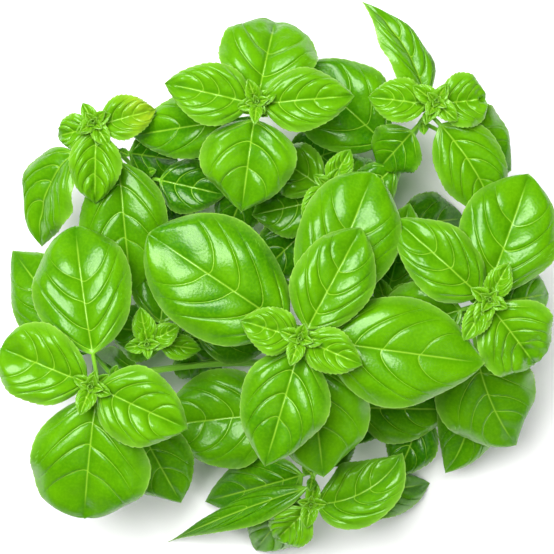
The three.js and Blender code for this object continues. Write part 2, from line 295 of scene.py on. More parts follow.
@dataclass(frozen=True)
class Trace:
    """A soft mark beside the veins.

    wide is its width beside a side vein, in half widths of the vein, fade the shares of the half
    width over which it ends and thins how much of it is gone at the tip. rib and rib_wide are its
    strength and its width in mm beside the midrib.
    """

    wide: float
    fade: tuple[float, float]
    thins: float
    rib: float
    rib_wide: float


@dataclass(frozen=True)
class BladeForm:
    """The sizes that every leaf shares, in mm or as shares of its half width or length.

    A name that starts with young_ is what a leaf at the tip has more than a full grown one, and
    one with small_ what a small leaf has more than a large one. Pairs give where a change starts
    and ends.
    """

    # How a leaf's place and length make it young or small, and its height how much painted shade
    # darkens it.
    young_below: float = 16.0
    young_long: tuple[float, float] = (26.0, 76.0)
    small_long: tuple[float, float] = (30.0, 75.0)
    dark_high: tuple[float, float] = (20.0, 70.0)
    # The stalk, and how thick the tissue and its veins are.
    stalk_half: float = 0.95
    stalk_deep: float = 0.8
    stalk_step: float = 1.6
    stalk_end: float = 0.07
    blade_start: float = 0.03
    tip_half: float = 0.1
    tissue: float = 0.42
    rib: float = 1.0
    rib_wide: float = 0.75
    vein_ridge: float = 0.16
    groove: float = 0.26
    groove_trace: Trace = Trace(1.3, (0.55, 0.95), 0.6, 1.2, 0.8)
    # How the blade folds, curls and waves.
    fold: float = 0.16
    fold_round: float = 0.02
    small_fold: float = 0.2
    young_fold: float = 0.4
    curl: float = 0.34
    margin_turn: float = 0.05
    margin_turn_from: float = 0.72
    wave: float = 0.09
    waves: float = 2.5
    ripple: float = 0.009
    young_ripple: float = 0.03
    # The outline.
    outline_shift: float = 1.25
    outline_base: float = 0.5
    outline_ripple: float = 0.035
    outline_waves: float = 1.3
    # How many side veins there are and how they run.
    few_veins: float = 2.2
    long_each_vein: float = 45.0
    young_veins: float = 1.1
    vein_counts: tuple[int, int] = (3, 5)
    vein_jitter: float = 0.018
    first_vein: float = 0.03
    vein_span: float = 0.74
    vein_half: float = 0.42
    vein_end: tuple[float, float] = (0.5, 0.92)
    arch: float = 0.74
    bow: float = 1.4
    stagger: float = 0.016
    stagger_wide: float = 0.06
    # The pillows between the veins.
    quilt: float = 0.06
    young_quilt: float = 0.16
    widest_field: float = 13.0
    flatness: float = 6.0
    young_flatness: float = -3.5
    rise_wide: float = 2.4
    quilt_end: tuple[float, float] = (0.6, 1.0)
    swell: float = 0.05
    young_swell: float = 0.3
    swell_half: float = 5.0
    fewest_swells: float = 1.5
    # The marks that the finish reads.
    line_thins: float = 0.4
    rib_line: float = 0.85
    rib_line_wide: float = 0.36
    rib_line_end: tuple[float, float] = (0.7, 1.0)
    # painted shade in the grooves: wide bells beside the side veins and the midrib
    groove_shade_trace: Trace = Trace(3.2, (0.45, 0.9), 0.7, 0.8, 2.0)
    # the rim and its halo: a paler margin, partly the leaf's own colour and partly painted sheen
    # where the margin turns to the light
    rim_wide: float = 0.45
    halo: float = 0.28
    halo_wide: float = 2.0
    full_rim_leaf: float = 36.0
    yellow_rise: tuple[float, float] = (0.2, 0.9)
    # The teeth of the margin.
    tooth: float = 0.18
    small_tooth: float = 0.24
    most_tooth: float = 0.02
    tooth_step: float = 0.075
    tooth_steps: tuple[float, float] = (1.7, 4.4)
    teeth_rise: tuple[float, float] = (0.1, 0.25)
    teeth_fade: tuple[float, float] = (0.93, 1.0)
    last_tooth_row: float = 0.96
    # The grid.
    row_step: float = 0.024
    column_step: float = 0.042
    least_step: float = 0.75
    fine_steps: int = 3000
    fewest_rows: int = 8
    fewest_columns: int = 2
    groove_rows: tuple[float, ...] = (-2.2, -1.0, 0.0, 1.0, 2.2)
    rib_columns: tuple[float, float] = (0.4, 1.0)
    rib_column_shares: tuple[float, float] = (0.16, 0.36)
    even_share: float = 0.9
    margin_columns: tuple[float, ...] = (0.93, 0.972, 0.993, 1.0)
    doubled_columns: int = 4
    # The lifts between which a resting leaf's own is found, and in how many halvings.
    lift_span: tuple[float, float] = (-60.0, 50.0)
    halvings: int = 18


LEAF_FORM = BladeForm()
TINY_FORM = BladeForm(
    least_step=0.8,
    row_step=0.07,
    column_step=0.14,
    groove_rows=(-1.0, 0.0, 1.0),
    vein_half=0.25,
    young_fold=0.75,
)


class Blade:
    """One leaf with its stalk, as a surface over shares of its length and of its half width.

    On its grid u is the share of the blade's length, v the share of its half width with a sign for
    the side, and s the share of the midrib where the side vein's line through a point starts.
    """

    def __init__(self, leaf: Leaf, root: np.ndarray, number: int, form: BladeForm) -> None:
        """Settles the leaf's age, veins, chances and grid, and works out its section.

        Args:
            leaf: how it grows.
            root: where its stalk leaves the stem.
            number: its count in the bunch, which sets its waves and its chances.
            form: the sizes that every leaf shares.
        """
        self.leaf, self.root, self.number, self.form = leaf, root, number, form
        near_tip = falling(leaf.below, 0.0, form.young_below)
        self.youth = near_tip * falling(leaf.long, *form.young_long)
        self.small = falling(leaf.long, *form.small_long)
        # Painted shade: the lower a leaf's root, the darker it is painted, as if shadowed by the
        # leaves above.
        self.shade = falling(root[2], *form.dark_high) if leaf.shade is None else leaf.shade

        chance = np.random.default_rng(LEAF_SEED + number)
        wanted = form.few_veins + leaf.long / form.long_each_vein + form.young_veins * self.youth
        count = int(np.clip(round(wanted), *form.vein_counts))
        spread = np.arange(count) / count
        even = form.first_vein + form.vein_span * spread**1.12
        jitter = chance.uniform(-form.vein_jitter, form.vein_jitter, count) * (spread > 0)
        self.veins = even + jitter
        self.ripples = chance.uniform(0.0, TURN, (4, 3))
        self.tone = chance.uniform(0.0, 1.0)

        self.s, self.v, self.distance = self.grid()
        self.u = np.clip((self.distance - leaf.stalk) / leaf.long, 0.0, 1.0)
        self.across = np.abs(self.v)
        self.half = self.half_at(self.u)
        self.blade = smooth(0.0, form.blade_start, self.u)
        self.stalk_like = fading(0.0, form.stalk_end, self.u)
        self.from_rib = self.across * self.half
        gap = np.abs(self.s[:, :, None] - self.veins).min(2)
        self.from_vein = gap / (form.vein_half / leaf.long)
        line = np.clip(1.0 - self.from_vein, 0.0, 1.0)
        self.line = line * fading(*form.vein_end, self.across)
        self.aside, height = self.spread(), self.height()
        above, below = self.faces()
        self.upper, self.lower = height + above, height - below

    def outline(self, u: np.ndarray) -> np.ndarray:
        """The outline without its teeth.

        With x = u^shift it is x^base * (1 - x)^point, over its largest value.

        Args:
            u: shares of the blade's length.

        Returns:
            Half the width there, as a share of the widest half.
        """
        base, point = self.form.outline_base, self.leaf.point
        widest = base / (base + point)
        x = np.clip(u, 0.0, 1.0) ** self.form.outline_shift
        return x**base * (1.0 - x) ** point / (widest**base * (1.0 - widest) ** point)

    def half_at(self, u: np.ndarray) -> np.ndarray:
        """Half the width in mm at share u of the blade's length."""
        least = np.where(u < 0.5, self.form.stalk_half, self.form.tip_half)
        return np.maximum(least, self.leaf.wide / 2.0 * self.outline(u))

    def share_at(self, s: np.ndarray, v: np.ndarray) -> np.ndarray:
        """Follows the lines of even s, which the side veins take.

        They leave the midrib at s and arch towards the tip as s^(1 - arch * bow), where the bow
        rises as tanh(1.4 |v|^1.8), with the two sides a little staggered.

        Args:
            s: where the lines leave the midrib.
            v: shares of the half width.

        Returns:
            The share of the blade's length there.
        """
        form = self.form
        side = np.tanh(v / form.stagger_wide) * form.stagger * 4.0 * s * (1.0 - s)
        bow = np.tanh(form.bow * np.abs(v) ** 1.8) / np.tanh(form.bow)
        return np.clip(s + side, 0.0, 1.0) ** (1.0 - form.arch * bow)

    def tooth_step(self) -> float:
        """How far apart the teeth of the margin stand, in mm."""
        return float(np.clip(self.form.tooth_step * self.leaf.long, *self.form.tooth_steps))

    def teeth(self) -> np.ndarray:
        """Draws the teeth along the margin, where the line s ends at the share s^(1 - arch).

        Each tooth rises to its tip over most of its step and falls back at once.

        Returns:
            How far the margin stands out, in mm.
        """
        form, leaf = self.form, self.leaf
        along = self.s ** (1.0 - form.arch)
        turns = along * leaf.long / self.tooth_step() + GOLDEN * self.number
        height = np.interp(turns % 1.0, TOOTH_TURNS, TOOTH_HEIGHTS)
        size = min(form.tooth + form.small_tooth * self.small, form.most_tooth * leaf.long)
        return size * height * smooth(*form.teeth_rise, along) * fading(*form.teeth_fade, along)

    def tooth_rows(self) -> np.ndarray:
        """Finds the foot, the middle and the tip of each tooth.

        Returns:
            The vein shares of the rows through them.
        """
        step = self.tooth_step() / self.leaf.long
        first = GOLDEN * self.number
        turns = np.arange(np.ceil(first), first + 1.0 / step)[:, None] + np.array(TOOTH_TURNS[:3])
        along = (turns.ravel() - first) * step
        along = along[(along > self.form.teeth_rise[0]) & (along < self.form.last_tooth_row)]
        return along ** (1.0 / (1.0 - self.form.arch))

    def rows(self) -> np.ndarray:
        """Sets rows at the teeth and round each vein, and even steps between them.

        Returns:
            The vein shares of the blade's rows.
        """
        form, leaf = self.form, self.leaf
        fine = np.linspace(0.0, 1.0, form.fine_steps)
        margin = self.share_at(fine, np.ones_like(fine))
        out = np.hypot(np.diff(margin) * leaf.long, np.diff(self.half_at(margin)))
        middle = np.diff(fine) * leaf.long
        run = np.concatenate([[0.0], np.cumsum(np.maximum(out, middle))])
        step = max(form.row_step * leaf.long, form.least_step)
        even = np.linspace(0.0, run[-1], max(int(run[-1] / step), form.fewest_rows))
        near = form.vein_half / leaf.long
        veins = np.concatenate([self.veins + near * k for k in form.groove_rows])
        fixed = np.concatenate([veins[(veins > 0.0) & (veins < 1.0)], self.tooth_rows()])
        gaps = np.abs(even[:, None] - np.interp(fixed, fine, run)).min(1)
        keep = (gaps > 0.5 * step) | (even <= 0.0) | (even >= run[-1])
        rows = np.concatenate([np.interp(even[keep], run, fine), fixed])
        return np.unique(np.round(rows, 7))

    def columns(self) -> np.ndarray:
        """Sets columns close together at the midrib and at both margins.

        Returns:
            Their shares of the half width.
        """
        form = self.form
        half = self.leaf.wide / 2.0
        step = max(form.column_step * self.leaf.wide, form.least_step)
        near = np.minimum(np.array(form.rib_columns) / half, form.rib_column_shares)
        count = max(int(form.even_share * half / step), form.fewest_columns)
        last = form.margin_columns[0]
        even = np.linspace(near[-1] + 0.5 * (last - near[-1]) / count, last, count)
        right = np.concatenate([near, even, form.margin_columns[1:]])
        return np.concatenate([-right[::-1], [0.0], right])

    def grid(self) -> tuple[np.ndarray, np.ndarray, np.ndarray]:
        """Sets the rows of the stalk before those of the blade.

        Returns:
            s, v, and the distance from the root along the leaf.
        """
        leaf = self.leaf
        s, v = self.rows()[:, None], self.columns()[None, :]
        count = max(int(leaf.stalk / self.form.stalk_step), 2)
        stalk = np.linspace(0.0, leaf.stalk, count, endpoint=False)[:, None]
        stalk = np.broadcast_to(stalk, (count, v.shape[1]))
        distance = np.concatenate([stalk, leaf.stalk + self.share_at(s, v) * leaf.long])
        s = np.concatenate([np.zeros((count, 1)), s])
        return s, np.broadcast_to(v, distance.shape), distance

    def midrib(self, lift: float) -> tuple[np.ndarray, np.ndarray, np.ndarray]:
        """Runs the midrib out from the root.

        Its pitch falls evenly by the droop and its heading turns evenly by the sweep, so that its
        place is a sum of sines and cosines of both.

        Args:
            lift: how steeply it starts above level.

        Returns:
            The place, the way across the blade and the way out of its upper face.
        """
        leaf = self.leaf
        total = leaf.stalk + leaf.long
        share = self.distance / total
        pitch, bend = np.radians(lift), np.radians(-leaf.droop)
        heading, turn = np.radians(leaf.toward), np.radians(leaf.sweep)
        axes = np.array([0.0, TURN / 4.0])[:, None, None]
        outward = cosine_run(heading + pitch - axes, turn + bend, share)
        inward = cosine_run(heading - pitch - axes, turn - bend, share)
        level = total * (outward + inward) / 2.0
        rise = total * cosine_run(pitch - TURN / 4.0, bend, share)
        place = self.root + np.stack([*level, rise], -1)
        a, b = pitch + bend * share, heading + turn * share
        side = np.stack([-np.sin(b), np.cos(b), np.zeros_like(b)], -1)
        top = np.stack([-np.sin(a) * np.cos(b), -np.sin(a) * np.sin(b), np.cos(a)], -1)
        roll = np.radians(leaf.roll)
        across = side * np.cos(roll) + top * np.sin(roll)
        out = top * np.cos(roll) - side * np.sin(roll)
        return place, across, out

    def pillows(self) -> np.ndarray:
        """Lets the tissue bulge between the veins.

        Between two side veins, with t running from 0 to 1, it is 1 - |2t - 1|^n times a share of
        their spacing. It rises from the midrib, fades at the margin, and swells and sinks along
        each field where the finest veins cross it.

        Returns:
            How far it bulges, in mm.
        """
        form, leaf, s = self.form, self.leaf, self.s
        edges = np.concatenate([[0.0], self.veins, [1.0]])
        field_at = np.clip(np.searchsorted(edges, s, side="right") - 1, 0, len(edges) - 2)
        low, high = edges[field_at], edges[field_at + 1]
        t = np.clip((s - low) / (high - low), 0.0, 1.0)
        spacing = np.minimum((high - low) * leaf.long, form.widest_field)
        quilt = form.quilt + form.young_quilt * self.youth
        flatness = form.flatness + form.young_flatness * self.youth
        pillow = 1.0 - np.abs(2.0 * t - 1.0) ** flatness
        rise = 1.0 - np.exp(-((self.from_rib / form.rise_wide) ** 1.5))
        fade = fading(*form.quilt_end, self.across)
        crossings = max(leaf.wide / 2.0 / form.swell_half, form.fewest_swells)
        phase = self.ripples[0, 0] + 2.1 * field_at + 1.3 * (self.v > 0)
        swell = form.swell + form.young_swell * self.youth
        swell = 1.0 + swell * np.sin(TURN * crossings * self.across + phase)
        towards_foot = 0.55 + 0.9 * (1.0 - s) ** 1.5
        return quilt * spacing * pillow * rise * fade * swell * towards_foot

    def spread(self) -> np.ndarray:
        """Spreads the blade to both sides.

        The half width swells and shrinks as 1 + a sin(k u) |v|^3, and the teeth stand out of the
        margin as |v|^14.

        Returns:
            How far each point lies from the midrib, in mm.
        """
        form, side = self.form, np.sign(self.v)
        wave = np.sin(2.0 * form.outline_waves * np.pi * self.u + self.ripples[0, 2] + 1.9 * side)
        bulge = 1.0 + form.outline_ripple * wave * self.across**3
        return self.v * self.half * bulge + side * self.teeth() * self.across**14

    def height(self) -> np.ndarray:
        """Lifts the tissue out of its plane.

        Both halves fold up from the midrib as sqrt(v^2 + r^2) - r, curl back down as |v|^3 and
        wave as v^2 sin(k u). On top come the pillows and ripples, which are sines of
        2.2 pi (k + 1.5) u times sines of 2.5 (k + 1) v and end at the margin.

        Returns:
            How far the middle of the tissue stands out, in mm.
        """
        form, u, v = self.form, self.u, self.v
        fold = form.fold + form.small_fold * self.small + form.young_fold * self.youth
        bent = np.sqrt(v * v + form.fold_round**2) - form.fold_round
        wave = form.wave * np.sin(TURN * (form.waves * u + GOLDEN * self.number))
        arch = fold * bent - form.curl * self.across**3 + wave * v * v * np.sign(v)
        arch = arch - form.margin_turn * smooth(form.margin_turn_from, 1.0, self.across)
        height = arch * self.half * self.blade + self.pillows() * self.blade
        ripple = sum(
            np.sin((k + 1.5) * 2.2 * np.pi * u + a) * np.sin((k + 1.0) * 2.5 * v + b)
            for k, (a, b, _) in enumerate(self.ripples)
        )
        uneven = form.ripple + form.young_ripple * self.youth
        return height + uneven * self.leaf.wide / 2.0 * ripple * self.blade * (1.0 - v * v)

    def trace(self, trace: Trace) -> np.ndarray:
        """Lays bells beside the side veins and the midrib.

        Args:
            trace: how wide and how strong they are.

        Returns:
            The larger of the two at each point.
        """
        beside = bell(self.from_vein, trace.wide) * fading(*trace.fade, self.across)
        rib = trace.rib * bell(self.from_rib, trace.rib_wide)
        return np.maximum(beside * (1.0 - trace.thins * self.u), rib)

    def faces(self) -> tuple[np.ndarray, np.ndarray]:
        """Gives the tissue its thickness.

        Bells round the midrib and the side veins are grooves above and ridges below. Towards the
        root the section turns into the stalk's, round as sqrt(1 - v^2).

        Returns:
            How far the upper and the lower face lie from its middle, in mm.
        """
        form, u, v = self.form, self.u, self.v
        trough = self.trace(form.groove_trace)
        ridge = form.rib * (1.0 - u) ** 0.8 * bell(self.from_rib, form.rib_wide)
        ridge = ridge + form.vein_ridge * self.line * (1.0 - u)
        above = form.tissue / 2.0 - form.groove * trough * self.blade * (1.0 - u**3)
        below = form.tissue / 2.0 + ridge
        edge = np.sqrt(np.clip(1.0 - v**8, 0.0, 1.0))
        stalk = form.stalk_deep * np.sqrt(np.clip(1.0 - v * v, 0.0, 1.0)) * self.stalk_like
        above = above * edge * (1.0 - self.stalk_like) + stalk
        below = below * edge * (1.0 - self.stalk_like) + stalk
        return above, below

    def marks(self) -> dict[str, np.ndarray]:
        """Works out what the finish reads on each point.

        The veins are their lines and a bell at the midrib, and sunk is wider bells beside both,
        where painted shade darkens the grooves. The rim is a narrow bell at the margin over a wide
        faint one, a paler margin that is partly the leaf's own and partly painted sheen where the
        margin turns to the light. shade is painted shade on the low leaves.

        Returns:
            The numbers round each ring, from 0 to 1, under each mark's name.
        """
        form, u = self.form, self.u
        rib = form.rib_line * bell(self.from_rib, form.rib_line_wide)
        rib = rib * fading(*form.rib_line_end, u)
        inward = (1.0 - self.across) * self.half
        band = min(1.0, self.leaf.wide / form.full_rim_leaf)
        rim = bell(inward, form.rim_wide * band)
        halo = form.halo * bell(inward, form.halo_wide * band)
        whole = np.ones_like(u)
        both = {
            "vein": np.maximum(self.line * (1.0 - form.line_thins * u), rib) * self.blade,
            "rim": np.maximum(rim, halo) * self.blade,
            # sunk: painted shade beside the veins, where the grooves lie in shadow
            "sunk": self.trace(form.groove_shade_trace) * self.blade,
            "stalk": self.stalk_like,
            "youth": self.youth * whole,
            "tone": self.tone * whole,
            # painted shade on low and inner leaves
            "shade": self.shade * whole,
            "yellow": self.leaf.yellow * whole * smooth(*form.yellow_rise, u),
        }
        marks = {name: self.ring(mark, mark) for name, mark in both.items()}
        marks["under"] = self.ring(0.0 * whole, whole)
        return marks

    def ring(self, over: np.ndarray, under: np.ndarray) -> np.ndarray:
        """Runs over the upper face to the far margin and back along the lower face.

        Args:
            over: what the upper face has at each point.
            under: what the lower face has, where every other column is left out between the
                margins.

        Returns:
            Both in one row for each ring.
        """
        last, kept = self.v.shape[1] - 1, self.form.doubled_columns
        back = np.arange(last - 1, 0, -1)
        back = back[((back - last // 2) % 2 == 0) | (back <= kept) | (back >= last - kept)]
        return np.concatenate([over, under[:, back]], axis=1)

    def rings(self, lift: float) -> np.ndarray:
        """Lays the section along the midrib.

        Args:
            lift: how steeply the leaf starts above level.

        Returns:
            The rings of points from the root to the tip.
        """
        place, across, out = self.midrib(lift)
        skin = place + across * self.aside[..., None]
        return self.ring(skin + out * self.upper[..., None], skin + out * self.lower[..., None])

    def patch(self) -> Patch:
        """Closes the leaf's surface and lays it on the table if it rests there.

        Returns:
            The closed surface.
        """
        lift = self.leaf.lift
        if lift is None:
            low, lift = self.form.lift_span
            for _ in range(self.form.halvings):
                middle = (low + lift) / 2.0
                if self.rings(middle)[..., 2].min() < 0.0:
                    low = middle
                else:
                    lift = middle
        flat = np.stack([self.u * self.leaf.long, self.aside], -1) + FLAT_GAP * self.number
        return Patch.from_rings(self.rings(lift), self.ring(flat, flat), self.marks())


@dataclass(frozen=True)
class StemForm:
    """The sizes that every stem shares, in mm or as shares of its half thickness.

    A cut ring gives a share of the first ring's size, how far it is sunk and how much pith shows
    there, and a tip ring a share of the last ring's size and how far it rises over it.
    """

    at_cut: float = 4.4
    at_tip: float = 1.8
    squareness: float = 3.4
    groove: float = 0.06
    ring_step: float = 1.6
    points: int = 28
    curve_steps: int = 201
    knuckle: float = 0.22
    knuckle_long: float = 2.6
    knuckle_below: float = 2.0
    cut_rings: tuple[Place, ...] = (
        (0.2, 0.35, 1.0),
        (0.6, 0.3, 0.75),
        (0.86, 0.05, 0.3),
        (0.95, -0.06, 0.0),
    )
    tip_rings: tuple[tuple[float, float], ...] = ((0.8, 0.5), (0.4, 0.8))


class Stem:
    """A stem along a smooth curve of four points, thinner towards the tip."""

    def __init__(self, points: tuple[Place, ...], form: StemForm) -> None:
        """Measures the curve.

        Args:
            points: the curve's start, its two guides and its end.
            form: the sizes that every stem shares.
        """
        self.points = np.array(points, float)
        self.form = form
        self.knots = np.linspace(0.0, 1.0, form.curve_steps)
        steps = np.linalg.norm(np.diff(self.curve(self.knots), axis=0), axis=1)
        self.run = np.concatenate([[0.0], np.cumsum(steps)])
        self.length = float(self.run[-1])

    def curve(self, t: np.ndarray) -> np.ndarray:
        """Weighs the four points by the Bernstein weights of t.

        Args:
            t: the curve's own shares.

        Returns:
            The places on the curve.
        """
        t = np.asarray(t, float)[..., None]
        weights = ((1 - t) ** 3, 3 * t * (1 - t) ** 2, 3 * t * t * (1 - t), t**3)
        return sum(w * p for w, p in zip(weights, self.points))

    def slope(self, t: np.ndarray) -> np.ndarray:
        """Weighs the steps between the four points by the Bernstein weights of t.

        Args:
            t: the curve's own shares.

        Returns:
            The way the curve goes there, of length one.
        """
        t = np.asarray(t, float)[..., None]
        a, b, c = np.diff(self.points, axis=0)
        return unit((1 - t) ** 2 * a + 2 * t * (1 - t) * b + t * t * c)

    def at(self, share: np.ndarray) -> np.ndarray:
        """The curve's own share at a share of its length."""
        return np.interp(np.asarray(share) * self.length, self.run, self.knots)

    def under_tip(self, below: float) -> np.ndarray:
        """The place at a distance under the tip, along the stem."""
        return self.curve(self.at(1.0 - below / self.length))

    def patch(self, knuckles: list[float]) -> Patch:
        """Closes the stem's surface.

        Each ring is a square with round corners, |x|^n + |y|^n = 1, its faces a little hollow, and
        swollen where leaves grow. The cut end is sunk a little in its middle.

        Args:
            knuckles: how far under the tip the leaves grow.

        Returns:
            The closed surface.
        """
        form = self.form
        shares = np.linspace(0.0, 1.0, int(self.length / form.ring_step))
        t = self.at(shares)
        place, tangent = self.curve(t), self.slope(t)
        gathered = np.radians(GATHER_TOWARD)
        level = np.array([np.sin(gathered), -np.cos(gathered), 0.0])
        over = unit(np.cross(tangent, level))
        side = unit(np.cross(over, tangent))

        below = (1.0 - shares) * self.length
        from_knuckle = below[:, None] - np.array(knuckles)
        swell = bell(from_knuckle, form.knuckle_long).max(1)
        half = (form.at_cut + (form.at_tip - form.at_cut) * shares) / 2.0
        half = half * (1.0 + form.knuckle * swell * (below > form.knuckle_below))
        around = np.linspace(0.0, TURN, form.points, endpoint=False)
        n = form.squareness
        reach = (np.abs(np.cos(around)) ** n + np.abs(np.sin(around)) ** n) ** (-1.0 / n)
        reach = reach * (1.0 - form.groove * np.cos(2.0 * around) ** 2)
        x = (reach * np.cos(around))[None, :] * half[:, None]
        y = (reach * np.sin(around))[None, :] * half[:, None]
        rings = place[:, None] + side[:, None] * x[..., None] + over[:, None] * y[..., None]
        cut = [
            place[0] + (rings[0] - place[0]) * share + tangent[0] * sunk
            for share, sunk, _ in form.cut_rings
        ]
        tip = [
            place[-1] + (rings[-1] - place[-1]) * share + tangent[-1] * rise
            for share, rise in form.tip_rings
        ]
        rings = np.concatenate([cut, rings, tip])

        more = (len(cut), len(tip))
        along = np.pad(shares * self.length, more, mode="edge")[:, None]
        wide = np.ones(form.points)
        flat = np.stack(np.broadcast_arrays(along, around * form.at_cut / 2.0), -1)
        pith = [shown for _, _, shown in form.cut_rings]
        marks = {
            "pith": np.pad(pith, (0, len(rings) - len(pith)))[:, None] * wide,
            "young": along / self.length * wide,
            "knuckle": np.pad(swell, more)[:, None] * wide,
        }
        return Patch.from_rings(rings, flat, marks)


# The pairs of leaves in a bud: how far under the tip, how long, how wide, their lift and droop.
BUD_PAIRS = (
    (1.4, 11.5, 7.6, 30.0, 40.0),
    (1.0, 9.0, 6.0, 42.0, 36.0),
    (0.6, 7.0, 4.6, 54.0, 28.0),
    (0.3, 5.0, 3.2, 64.0, 18.0),
    (0.1, 3.6, 2.2, 76.0, 0.0),
)
BUD_STALK = 0.5
BUD_ASTRAY = 14.0
BUD_GROWN = (0.75, 1.2)
# A tiny leaf in the axil of a leaf: how it grows, counted from that leaf, and to which sides.
AXIL_LEAF = Leaf(-1.5, 0.0, 2.0, 7.5, 4.6, 52.0, 25.0)
AXIL_SIDES = (-62.0, 58.0)
# The smallest leaf, and the nearest to the tip, that has a shoot in its axil.
AXIL_LEAST_LONG = 34.0
AXIL_LEAST_BELOW = 6.0


@dataclass
class Sprig:
    """One leafy stem: its curve, its leaves, the bud at its tip and the shoots in its axils."""

    name: str
    stem: tuple[Place, ...]
    leaves: tuple[Leaf, ...]
    first: int = 0
    stem_form: StemForm = StemForm()

    def bud(self) -> list[Leaf]:
        """Stands pairs of tiny leaves crosswise over each other at the tip.

        Returns:
            The tiny leaves.
        """
        heading = self.leaves[0].toward + 90.0
        chance = np.random.default_rng(BUD_SEED + self.first)
        found = []
        for turn, (below, long, wide, lift, droop) in enumerate(BUD_PAIRS):
            for half_turn in (0.0, 180.0):
                astray = chance.uniform(-BUD_ASTRAY, BUD_ASTRAY)
                toward = heading + 90.0 * turn + half_turn + astray
                grown = chance.uniform(*BUD_GROWN)
                size = (long * grown, wide * grown)
                found.append(Leaf(below, toward, BUD_STALK, *size, lift, droop))
        return found

    def axil_shoots(self) -> list[Leaf]:
        """Sets a pair of tiny leaves in the axil of each larger leaf that is off the table.

        Returns:
            The tiny leaves.
        """
        return [
            replace(AXIL_LEAF, below=leaf.below + AXIL_LEAF.below, toward=leaf.toward + aside)
            for leaf in self.leaves
            if leaf.long >= AXIL_LEAST_LONG
            and leaf.below >= AXIL_LEAST_BELOW
            and leaf.lift is not None
            for aside in AXIL_SIDES
        ]

    def build(self, leaf_finish: bpy.types.Material, stem_finish: bpy.types.Material) -> None:
        """Makes the stem and the foliage and sets them in place of the frame's node.

        Args:
            leaf_finish: the finish of leaves and their stalks.
            stem_finish: the finish of the stem.
        """
        stem = Stem(self.stem, self.stem_form)
        tiny_first = TINY_NUMBERS + TINY_NUMBERS_EACH * self.first
        groups = (
            (self.leaves, self.first, LEAF_FORM),
            (self.bud() + self.axil_shoots(), tiny_first, TINY_FORM),
        )
        patches = [
            Blade(leaf, stem.under_tip(leaf.below), number, form).patch()
            for leaves, first, form in groups
            for number, leaf in enumerate(leaves, first)
        ]
        knuckles = sorted({leaf.below for leaf in self.leaves})
        foliage = Patch.joined(patches).as_object(f"{self.name}_leaves", leaf_finish)
        stalk = stem.patch(knuckles).as_object(f"{self.name}_stem", stem_finish)
        for piece in (foliage, stalk):
            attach(piece, "root")
            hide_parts(self.name)
            log.info("%s: %d faces", piece.name, len(piece.data.polygons))


class NodeSheet:
    """A node tree that is being filled."""

    def __init__(self, tree: bpy.types.NodeTree) -> None:
        """Takes the tree and clears it."""
        self.tree = tree
        tree.nodes.clear()

    def feed(self, socket: bpy.types.NodeSocket, value: object) -> None:
        """Joins an input to another socket or sets its value.

        Args:
            socket: the input.
            value: a socket, a number, a vector or a colour of three numbers.
        """
        if isinstance(value, bpy.types.NodeSocket):
            self.tree.links.new(value, socket)
        elif socket.type == "RGBA" and isinstance(value, tuple):
            socket.default_value = (*value, 1.0)
        else:
            socket.default_value = value

    def add(self, kind: str, inputs: dict | None = None, **settings: object) -> bpy.types.Node:
        """Adds a node.

        Args:
            kind: the node's type, without its ShaderNode beginning.
            inputs: for each input's name or number, a socket to join or a value to set.
            settings: the node's own settings.

        Returns:
            The node.
        """
        prefix = "" if kind.startswith("Node") else "ShaderNode"
        node = self.tree.nodes.new(prefix + kind)
        for name, value in settings.items():
            setattr(node, name, value)
        for name, value in (inputs or {}).items():
            self.feed(node.inputs[name], value)
        return node

    def ramp(self, value: object, *span: float) -> bpy.types.NodeSocket:
        """A number carried from one span to another: low, high, to low, to high."""
        inputs = dict(enumerate((value, *span)))
        return self.add("MapRange", inputs, clamp=True).outputs[0]

    def mark(self, name: str, start: float = 0.0, most: float = 1.0) -> bpy.types.NodeSocket:
        """Reads a mark that the piece carries on its points.

        Args:
            name: the mark's name.
            start: where the mark begins to tell.
            most: what a full mark counts for.

        Returns:
            Its number, carried from the span start to 1 to the span 0 to most.
        """
        read = self.add("Attribute", attribute_name=name).outputs["Fac"]
        plain = (start, most) == (0.0, 1.0)
        return read if plain else self.ramp(read, start, 1.0, 0.0, most)

    def coats(self, colour: object, *coats: tuple[object, Colour]) -> bpy.types.NodeSocket:
        """Lays colours over each other.

        Args:
            colour: the one below.
            coats: for each coat its share and its colour, from the lowest up.

        Returns:
            The colour of them all.
        """
        for share, coat in coats:
            node = self.add("Mix", {0: share, 6: colour, 7: coat}, data_type="RGBA")
            colour = node.outputs[2]
        return colour

    def sum(self, kind: str, *values: object) -> bpy.types.NodeSocket:
        """One sum of the Math node."""
        return self.add("Math", dict(enumerate(values)), operation=kind).outputs[0]


def new_material(name: str) -> tuple[bpy.types.Material, NodeSheet, bpy.types.NodeSocket]:
    """Starts a finish.

    Args:
        name: its name.

    Returns:
        The material, its empty sheet and the piece's flat map.
    """
    made = bpy.data.materials.new(name)
    made.use_nodes = True
    sheet = NodeSheet(made.node_tree)
    return made, sheet, sheet.add("UVMap", uv_map="flat").outputs["UV"]


def new_group(name: str, takes: dict[str, str], gives: dict[str, str]) -> bpy.types.NodeTree:
    """A node group with its sockets.

    Args:
        name: its name.
        takes: the kind of each input by its name.
        gives: the kind of each output by its name.

    Returns:
        The empty group.
    """
    group = bpy.data.node_groups.new(name, "ShaderNodeTree")
    for in_out, sockets in (("INPUT", takes), ("OUTPUT", gives)):
        for socket, kind in sockets.items():
            group.interface.new_socket(socket, in_out=in_out, socket_type=f"NodeSocket{kind}")
    return group


